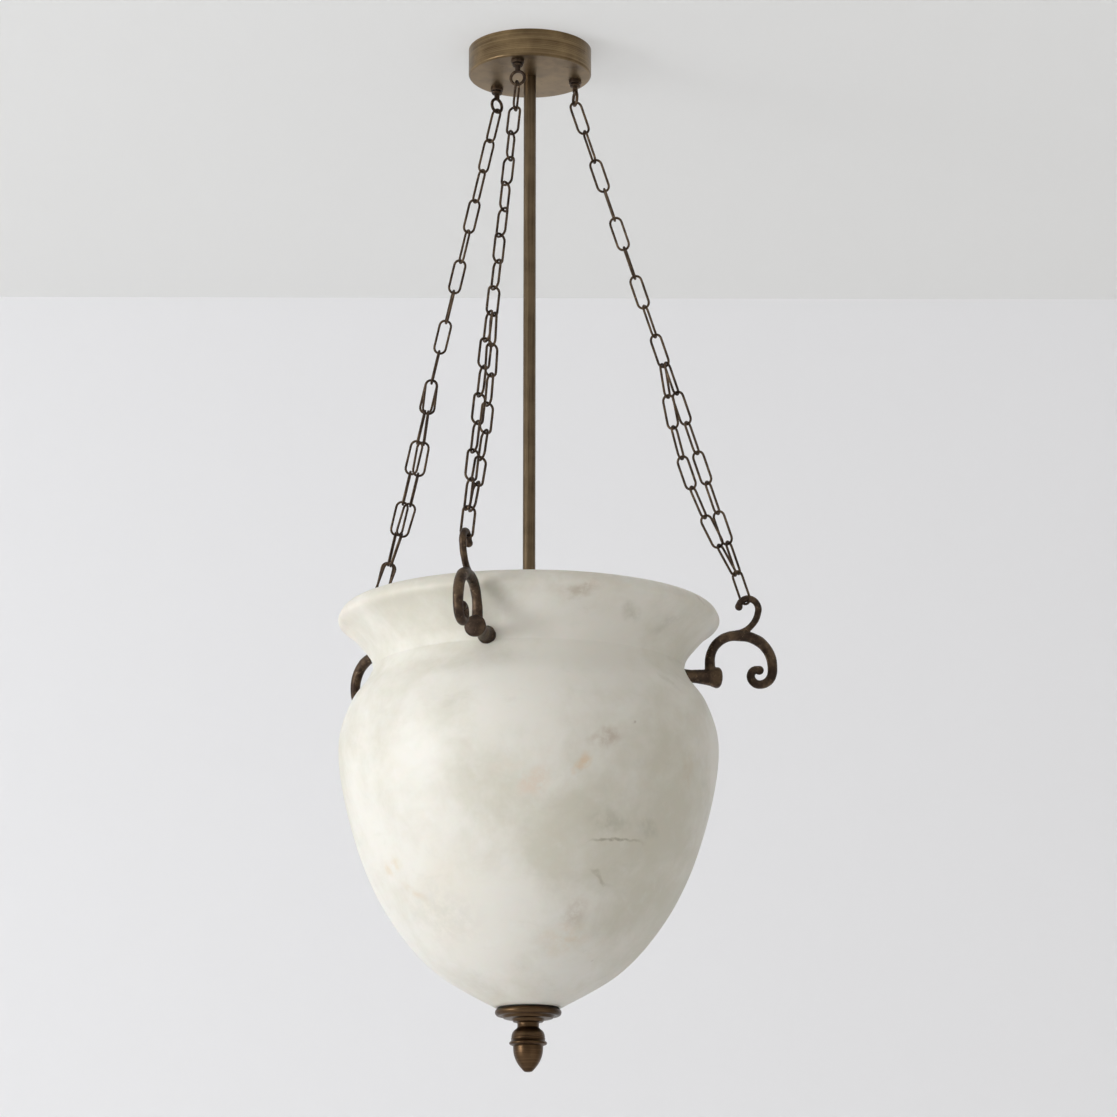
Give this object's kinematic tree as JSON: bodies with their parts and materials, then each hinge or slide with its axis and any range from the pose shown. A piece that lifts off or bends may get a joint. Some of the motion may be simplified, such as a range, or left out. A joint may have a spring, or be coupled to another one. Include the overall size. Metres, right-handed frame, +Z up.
{
  "type": "alabaster bowl pendant light",
  "caption": "Hanging light: a turned alabaster urn bowl on cast scroll hooks, oval-link chains, round ceiling cup, centre rod and acorn finial.",
  "frame": {"origin": "centre of the ceiling bracket, in the plane of the ceiling", "axes": "+Z up along the centre rod into the ceiling, +X towards the first chain"},
  "size_m": [0.4262, 0.4292, 0.998],
  "materials": {
    "antique_brass": "antiqued, brushed and lacquered, satin",
    "dark_bronze": "dark patina, worn brown on the edges",
    "alabaster": "polished, translucent, with brown and grey-green veins",
    "plated_steel": "zinc plated",
    "plain_brass": "drawn",
    "felt": "pressed felt",
    "soft_washer": "matt",
    "terminal_plastic": "moulded",
    "holder_plastic": "moulded, heat resisting",
    "flex_sheath": "extruded",
    "core_sheath": "extruded",
    "bulb_cap_metal": "drawn",
    "bulb_glass": "frosted inside"
  },
  "bodies": {
    "fitting": {"canopy_cup": "antique_brass", "canopy_stiffener": "plated_steel", "ceiling_bracket": "plated_steel", "canopy_side_screws": "antique_brass", "terminal_block": "terminal_plastic", "earth_screw": "plain_brass", "eyelet_nuts": "plated_steel", "centre_rod": "antique_brass", "rod_top_washer": "plated_steel", "rod_top_nut": "plated_steel", "alabaster_bowl": "alabaster", "bowl_seat_felt": "felt", "bowl_seat_plate": "plated_steel", "bowl_seat_nut": "plated_steel", "bottom_felt": "felt", "hook_studs": "plated_steel", "hook_outer_washers": "soft_washer", "hook_inner_washers": "soft_washer", "hook_steel_washers": "plated_steel", "hook_nuts": "plated_steel", "lamp_hub": "plain_brass", "hub_grub_screw": "plated_steel", "rod_flex": "flex_sheath", "supply_cores": "core_sheath", "lamp_leads": "flex_sheath", "eyelet_1": "dark_bronze", "scroll_hook_1": "dark_bronze", "chain_1_end_link": "dark_bronze", "lamp_arm_1": "plain_brass", "lampholder_1": "holder_plastic", "eyelet_2": "dark_bronze", "scroll_hook_2": "dark_bronze", "chain_2_end_link": "dark_bronze", "lamp_arm_2": "plain_brass", "lampholder_2": "holder_plastic", "eyelet_3": "dark_bronze", "scroll_hook_3": "dark_bronze", "chain_3_end_link": "dark_bronze", "lamp_arm_3": "plain_brass", "lampholder_3": "holder_plastic"},
    "bottom_plate": {"bottom_plate": "antique_brass"},
    "acorn_finial": {"acorn_finial": "antique_brass"},
    "chain_1_singles": {"chain_1_single_links": "dark_bronze"},
    "chain_1_strand_a": {"chain_1_strand_a": "dark_bronze"},
    "chain_1_strand_b": {"chain_1_strand_b": "dark_bronze"},
    "bulb_1": {"bulb_cap_1": "bulb_cap_metal", "bulb_glass_1": "bulb_glass"},
    "chain_2_singles": {"chain_2_single_links": "dark_bronze"},
    "chain_2_strand_a": {"chain_2_strand_a": "dark_bronze"},
    "chain_2_strand_b": {"chain_2_strand_b": "dark_bronze"},
    "bulb_2": {"bulb_cap_2": "bulb_cap_metal", "bulb_glass_2": "bulb_glass"},
    "chain_3_singles": {"chain_3_single_links": "dark_bronze"},
    "chain_3_strand_a": {"chain_3_strand_a": "dark_bronze"},
    "chain_3_strand_b": {"chain_3_strand_b": "dark_bronze"},
    "bulb_3": {"bulb_cap_3": "bulb_cap_metal", "bulb_glass_3": "bulb_glass"}
  },
  "joints": [
    {"name": "plate_drop", "type": "slide", "parent": "fitting", "child": "bottom_plate", "axis": [0, 0, -1], "range_m": [0, 0.008]},
    {"name": "finial_turn", "type": "hinge", "parent": "bottom_plate", "child": "acorn_finial", "pos_m": [0, 0, -0.952], "axis": [0, 0, -1], "range_deg": [0, 2880]},
    {"name": "chain_1_twist", "type": "hinge", "parent": "fitting", "child": "chain_1_singles", "pos_m": [0.04551, 0, -0.05033], "axis": [0.329, 0, -0.9443], "range_deg": [-10, 10]},
    {"name": "chain_1_strand_a_swing", "type": "hinge", "parent": "chain_1_singles", "child": "chain_1_strand_a", "pos_m": [0.13435, 0.00159, -0.3102], "axis": [0.3306, 0.0014, -0.9438], "range_deg": [-10, 10]},
    {"name": "chain_1_strand_b_swing", "type": "hinge", "parent": "chain_1_singles", "child": "chain_1_strand_b", "pos_m": [0.13735, -0.00159, -0.30915], "axis": [0.3274, -0.0014, -0.9449], "range_deg": [-5, 10]},
    {"name": "bulb_1_out", "type": "slide", "parent": "fitting", "child": "bulb_1", "axis": [0, 0, 1], "range_m": [0, 0.024]},
    {"name": "chain_2_twist", "type": "hinge", "parent": "fitting", "child": "chain_2_singles", "pos_m": [-0.02275, 0.03941, -0.05033], "axis": [-0.1645, 0.2849, -0.9443], "range_deg": [-10, 10]},
    {"name": "chain_2_strand_a_swing", "type": "hinge", "parent": "chain_2_singles", "child": "chain_2_strand_a", "pos_m": [-0.06855, 0.11555, -0.3102], "axis": [-0.1665, 0.2856, -0.9438], "range_deg": [-10, 10]},
    {"name": "chain_2_strand_b_swing", "type": "hinge", "parent": "chain_2_singles", "child": "chain_2_strand_b", "pos_m": [-0.0673, 0.11974, -0.30915], "axis": [-0.1625, 0.2842, -0.9449], "range_deg": [-5, 10]},
    {"name": "bulb_2_out", "type": "slide", "parent": "fitting", "child": "bulb_2", "axis": [0, 0, 1], "range_m": [0, 0.024]},
    {"name": "chain_3_twist", "type": "hinge", "parent": "fitting", "child": "chain_3_singles", "pos_m": [-0.02275, -0.03941, -0.05033], "axis": [-0.1645, -0.2849, -0.9443], "range_deg": [-10, 10]},
    {"name": "chain_3_strand_a_swing", "type": "hinge", "parent": "chain_3_singles", "child": "chain_3_strand_a", "pos_m": [-0.06579, -0.11714, -0.3102], "axis": [-0.1641, -0.287, -0.9438], "range_deg": [-10, 10]},
    {"name": "chain_3_strand_b_swing", "type": "hinge", "parent": "chain_3_singles", "child": "chain_3_strand_b", "pos_m": [-0.07005, -0.11815, -0.30915], "axis": [-0.1649, -0.2828, -0.9449], "range_deg": [-5, 10]},
    {"name": "bulb_3_out", "type": "slide", "parent": "fitting", "child": "bulb_3", "axis": [0, 0, 1], "range_m": [0, 0.024]}
  ],
  "couplings": [
    {"joint": "finial_turn", "follows": "plate_drop", "rad_per_m": 6283.2}
  ]
}
